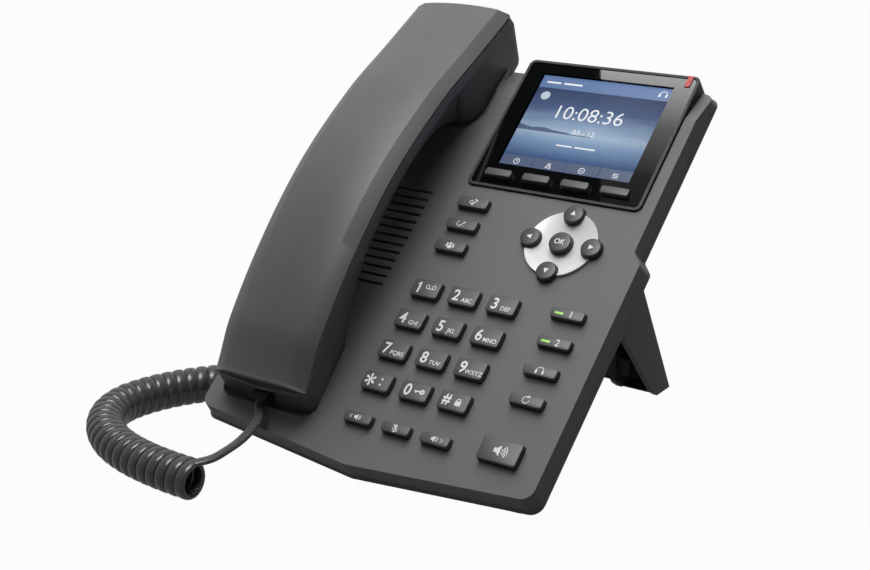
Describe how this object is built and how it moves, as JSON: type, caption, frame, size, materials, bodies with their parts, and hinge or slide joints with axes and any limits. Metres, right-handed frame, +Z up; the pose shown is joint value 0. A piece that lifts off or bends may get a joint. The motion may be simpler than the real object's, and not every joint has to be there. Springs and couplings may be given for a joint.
{
  "type": "desk ip phone",
  "caption": "Desk IP phone with a colour display, sprung keys, an arched handset on a coiled cord and a rear stand.",
  "frame": {"origin": "middle of the phone's outline on the table, between its sides and between its front edge and the handset's ear end", "axes": "+X to the user's right, +Y away from the user, +Z up; the face leans back 41 degrees from the table"},
  "size_m": [0.2111, 0.2252, 0.1721],
  "materials": {
    "case_plastic": "fine grain",
    "rear_plastic": "fine grain",
    "handset_plastic": "satin",
    "key_plastic": "satin",
    "display_glass": "polished black with a clear window",
    "lcd": "lit colour picture",
    "red_lens": "translucent",
    "nav_ring": "polished",
    "silicone": "matte",
    "feet_rubber": "matte",
    "circuit_board": "solder mask",
    "cord_jacket": "glossy",
    "clear_plug": "clear",
    "jack_metal": "plain",
    "screw_steel": "zinc plated",
    "black_plastic": "matte",
    "speaker_paper": "matte",
    "mic_can": "plain"
  },
  "bodies": {
    "base": {"front_cover": "case_plastic", "rear_cover": "rear_plastic", "display_housing": "case_plastic", "display_glass": "display_glass", "lcd_panel": "lcd", "message_lamp": "red_lens", "nav_ring": "nav_ring", "keypad_mat": "silicone", "main_board": "circuit_board", "loudspeaker": "speaker_paper", "hook_switch": "black_plastic", "cord_lead": "cord_jacket", "cord_coil": "cord_jacket", "cord_tail": "cord_jacket", "base_plug": "clear_plug", "network_jacks": "jack_metal", "side_jacks": "black_plastic", "power_jack": "black_plastic", "stand": "rear_plastic", "rubber_feet": "feet_rubber", "case_screws": "screw_steel"},
    "handset": {"handset_outer_shell": "handset_plastic", "handset_inner_shell": "handset_plastic", "ear_receiver": "speaker_paper", "handset_microphone": "mic_can", "handset_jack": "black_plastic", "handset_plug": "clear_plug"},
    "hook": {"hook_plunger": "black_plastic"},
    "key_dial_1": {"dial_1": "key_plastic"},
    "key_dial_2": {"dial_2": "key_plastic"},
    "key_dial_3": {"dial_3": "key_plastic"},
    "key_dial_4": {"dial_4": "key_plastic"},
    "key_dial_5": {"dial_5": "key_plastic"},
    "key_dial_6": {"dial_6": "key_plastic"},
    "key_dial_7": {"dial_7": "key_plastic"},
    "key_dial_8": {"dial_8": "key_plastic"},
    "key_dial_9": {"dial_9": "key_plastic"},
    "key_dial_star": {"dial_star": "key_plastic"},
    "key_dial_0": {"dial_0": "key_plastic"},
    "key_dial_hash": {"dial_hash": "key_plastic"},
    "key_transfer_key": {"transfer_key": "key_plastic"},
    "key_hold_key": {"hold_key": "key_plastic"},
    "key_conference_key": {"conference_key": "key_plastic"},
    "key_soft_key_1": {"soft_key_1": "key_plastic"},
    "key_soft_key_2": {"soft_key_2": "key_plastic"},
    "key_soft_key_3": {"soft_key_3": "key_plastic"},
    "key_soft_key_4": {"soft_key_4": "key_plastic"},
    "key_nav_right": {"nav_right": "key_plastic"},
    "key_nav_up": {"nav_up": "key_plastic"},
    "key_nav_left": {"nav_left": "key_plastic"},
    "key_nav_down": {"nav_down": "key_plastic"},
    "key_ok_key": {"ok_key": "key_plastic"},
    "key_line_key_1": {"line_key_1": "key_plastic"},
    "key_line_key_2": {"line_key_2": "key_plastic"},
    "key_headset_key": {"headset_key": "key_plastic"},
    "key_redial_key": {"redial_key": "key_plastic"},
    "key_speaker_key": {"speaker_key": "key_plastic"},
    "key_volume_down_key": {"volume_down_key": "key_plastic"},
    "key_mute_key": {"mute_key": "key_plastic"},
    "key_volume_up_key": {"volume_up_key": "key_plastic"}
  },
  "joints": [
    {"name": "lift_handset", "type": "slide", "parent": "base", "child": "handset", "axis": [0, -0.6561, 0.7547], "range_m": [0, 0.06]},
    {"name": "hook_rise", "type": "slide", "parent": "base", "child": "hook", "axis": [0, -0.6561, 0.7547], "range_m": [0, 0.004]},
    {"name": "press_dial_1", "type": "slide", "parent": "base", "child": "key_dial_1", "axis": [0, 0.6561, -0.7547], "range_m": [0, 0.0012], "stiffness_N_per_m": 300, "springref_m": -0.0004},
    {"name": "press_dial_2", "type": "slide", "parent": "base", "child": "key_dial_2", "axis": [0, 0.6561, -0.7547], "range_m": [0, 0.0012], "stiffness_N_per_m": 300, "springref_m": -0.0004},
    {"name": "press_dial_3", "type": "slide", "parent": "base", "child": "key_dial_3", "axis": [0, 0.6561, -0.7547], "range_m": [0, 0.0012], "stiffness_N_per_m": 300, "springref_m": -0.0004},
    {"name": "press_dial_4", "type": "slide", "parent": "base", "child": "key_dial_4", "axis": [0, 0.6561, -0.7547], "range_m": [0, 0.0012], "stiffness_N_per_m": 300, "springref_m": -0.0004},
    {"name": "press_dial_5", "type": "slide", "parent": "base", "child": "key_dial_5", "axis": [0, 0.6561, -0.7547], "range_m": [0, 0.0012], "stiffness_N_per_m": 300, "springref_m": -0.0004},
    {"name": "press_dial_6", "type": "slide", "parent": "base", "child": "key_dial_6", "axis": [0, 0.6561, -0.7547], "range_m": [0, 0.0012], "stiffness_N_per_m": 300, "springref_m": -0.0004},
    {"name": "press_dial_7", "type": "slide", "parent": "base", "child": "key_dial_7", "axis": [0, 0.6561, -0.7547], "range_m": [0, 0.0012], "stiffness_N_per_m": 300, "springref_m": -0.0004},
    {"name": "press_dial_8", "type": "slide", "parent": "base", "child": "key_dial_8", "axis": [0, 0.6561, -0.7547], "range_m": [0, 0.0012], "stiffness_N_per_m": 300, "springref_m": -0.0004},
    {"name": "press_dial_9", "type": "slide", "parent": "base", "child": "key_dial_9", "axis": [0, 0.6561, -0.7547], "range_m": [0, 0.0012], "stiffness_N_per_m": 300, "springref_m": -0.0004},
    {"name": "press_dial_star", "type": "slide", "parent": "base", "child": "key_dial_star", "axis": [0, 0.6561, -0.7547], "range_m": [0, 0.0012], "stiffness_N_per_m": 300, "springref_m": -0.0004},
    {"name": "press_dial_0", "type": "slide", "parent": "base", "child": "key_dial_0", "axis": [0, 0.6561, -0.7547], "range_m": [0, 0.0012], "stiffness_N_per_m": 300, "springref_m": -0.0004},
    {"name": "press_dial_hash", "type": "slide", "parent": "base", "child": "key_dial_hash", "axis": [0, 0.6561, -0.7547], "range_m": [0, 0.0012], "stiffness_N_per_m": 300, "springref_m": -0.0004},
    {"name": "press_transfer_key", "type": "slide", "parent": "base", "child": "key_transfer_key", "axis": [0, 0.6561, -0.7547], "range_m": [0, 0.0012], "stiffness_N_per_m": 300, "springref_m": -0.0004},
    {"name": "press_hold_key", "type": "slide", "parent": "base", "child": "key_hold_key", "axis": [0, 0.6561, -0.7547], "range_m": [0, 0.0012], "stiffness_N_per_m": 300, "springref_m": -0.0004},
    {"name": "press_conference_key", "type": "slide", "parent": "base", "child": "key_conference_key", "axis": [0, 0.6561, -0.7547], "range_m": [0, 0.0012], "stiffness_N_per_m": 300, "springref_m": -0.0004},
    {"name": "press_soft_key_1", "type": "slide", "parent": "base", "child": "key_soft_key_1", "axis": [0, 0.6561, -0.7547], "range_m": [0, 0.0012], "stiffness_N_per_m": 300, "springref_m": -0.0004},
    {"name": "press_soft_key_2", "type": "slide", "parent": "base", "child": "key_soft_key_2", "axis": [0, 0.6561, -0.7547], "range_m": [0, 0.0012], "stiffness_N_per_m": 300, "springref_m": -0.0004},
    {"name": "press_soft_key_3", "type": "slide", "parent": "base", "child": "key_soft_key_3", "axis": [0, 0.6561, -0.7547], "range_m": [0, 0.0012], "stiffness_N_per_m": 300, "springref_m": -0.0004},
    {"name": "press_soft_key_4", "type": "slide", "parent": "base", "child": "key_soft_key_4", "axis": [0, 0.6561, -0.7547], "range_m": [0, 0.0012], "stiffness_N_per_m": 300, "springref_m": -0.0004},
    {"name": "press_nav_right", "type": "slide", "parent": "base", "child": "key_nav_right", "axis": [0, 0.6561, -0.7547], "range_m": [0, 0.0012], "stiffness_N_per_m": 300, "springref_m": -0.0004},
    {"name": "press_nav_up", "type": "slide", "parent": "base", "child": "key_nav_up", "axis": [0, 0.6561, -0.7547], "range_m": [0, 0.0012], "stiffness_N_per_m": 300, "springref_m": -0.0004},
    {"name": "press_nav_left", "type": "slide", "parent": "base", "child": "key_nav_left", "axis": [0, 0.6561, -0.7547], "range_m": [0, 0.0012], "stiffness_N_per_m": 300, "springref_m": -0.0004},
    {"name": "press_nav_down", "type": "slide", "parent": "base", "child": "key_nav_down", "axis": [0, 0.6561, -0.7547], "range_m": [0, 0.0012], "stiffness_N_per_m": 300, "springref_m": -0.0004},
    {"name": "press_ok_key", "type": "slide", "parent": "base", "child": "key_ok_key", "axis": [0, 0.6561, -0.7547], "range_m": [0, 0.0012], "stiffness_N_per_m": 300, "springref_m": -0.0004},
    {"name": "press_line_key_1", "type": "slide", "parent": "base", "child": "key_line_key_1", "axis": [0, 0.6561, -0.7547], "range_m": [0, 0.0012], "stiffness_N_per_m": 300, "springref_m": -0.0004},
    {"name": "press_line_key_2", "type": "slide", "parent": "base", "child": "key_line_key_2", "axis": [0, 0.6561, -0.7547], "range_m": [0, 0.0012], "stiffness_N_per_m": 300, "springref_m": -0.0004},
    {"name": "press_headset_key", "type": "slide", "parent": "base", "child": "key_headset_key", "axis": [0, 0.6561, -0.7547], "range_m": [0, 0.0012], "stiffness_N_per_m": 300, "springref_m": -0.0004},
    {"name": "press_redial_key", "type": "slide", "parent": "base", "child": "key_redial_key", "axis": [0, 0.6561, -0.7547], "range_m": [0, 0.0012], "stiffness_N_per_m": 300, "springref_m": -0.0004},
    {"name": "press_speaker_key", "type": "slide", "parent": "base", "child": "key_speaker_key", "axis": [0, 0.6561, -0.7547], "range_m": [0, 0.0012], "stiffness_N_per_m": 300, "springref_m": -0.0004},
    {"name": "press_volume_down_key", "type": "slide", "parent": "base", "child": "key_volume_down_key", "axis": [0, 0.6561, -0.7547], "range_m": [0, 0.0012], "stiffness_N_per_m": 300, "springref_m": -0.0004},
    {"name": "press_mute_key", "type": "slide", "parent": "base", "child": "key_mute_key", "axis": [0, 0.6561, -0.7547], "range_m": [0, 0.0012], "stiffness_N_per_m": 300, "springref_m": -0.0004},
    {"name": "press_volume_up_key", "type": "slide", "parent": "base", "child": "key_volume_up_key", "axis": [0, 0.6561, -0.7547], "range_m": [0, 0.0012], "stiffness_N_per_m": 300, "springref_m": -0.0004}
  ],
  "couplings": [
    {"joint": "hook_rise", "follows": "lift_handset", "ratio": 0.066667}
  ]
}
